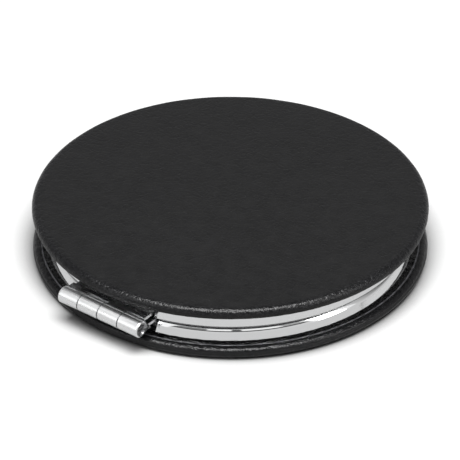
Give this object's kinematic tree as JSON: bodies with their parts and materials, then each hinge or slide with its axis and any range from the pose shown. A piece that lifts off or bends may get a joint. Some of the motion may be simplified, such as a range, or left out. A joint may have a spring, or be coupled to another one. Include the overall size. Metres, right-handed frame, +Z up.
{
  "type": "compact mirror",
  "caption": "Round pocket compact mirror: black leather-wrapped covers, chromed rims round a plain and a magnifying glass, and a rolled-knuckle hinge that opens flat.",
  "frame": {"origin": "middle of the closed compact's footprint, on the surface that it lies on", "axes": "+Z up through the closed disc's thickness, +Y towards the hinge, +X along the hinge pin"},
  "size_m": [0.07, 0.0718, 0.0102],
  "materials": {
    "cover_leather": "black coated leather, fine grain, satin",
    "board": "grey fibre board",
    "infill_paper": "plain paper board",
    "tinplate": "tinplate",
    "foam": null,
    "chromed_rim": "bright chrome plate on stamped steel",
    "mirror_glass": "silvered glass",
    "chromed_hinge": "bright chrome plate on rolled steel strip",
    "rivet_steel": "plated steel",
    "pin_steel": "drawn steel wire",
    "magnet": "nickel-plated magnet"
  },
  "bodies": {
    "base": {"lower_cover": "cover_leather", "lower_board": "board", "lower_infill": "infill_paper", "lower_plate": "tinplate", "lower_pad": "foam", "lower_frame": "chromed_rim", "lower_mirror": "mirror_glass", "lower_leaf": "chromed_hinge", "lower_rivets": "rivet_steel", "hinge_pin": "pin_steel"},
    "lid": {"upper_cover": "cover_leather", "upper_board": "board", "upper_infill": "infill_paper", "upper_plate": "tinplate", "upper_pad": "foam", "upper_frame": "chromed_rim", "upper_mirror": "mirror_glass", "upper_leaf": "chromed_hinge", "upper_rivets": "rivet_steel", "closing_magnet": "magnet"}
  },
  "joints": [
    {"name": "lid_hinge", "type": "hinge", "parent": "base", "child": "lid", "pos_m": [0, 0.03535, 0.0051], "axis": [-1, 0, 0], "range_deg": [0, 180]}
  ]
}
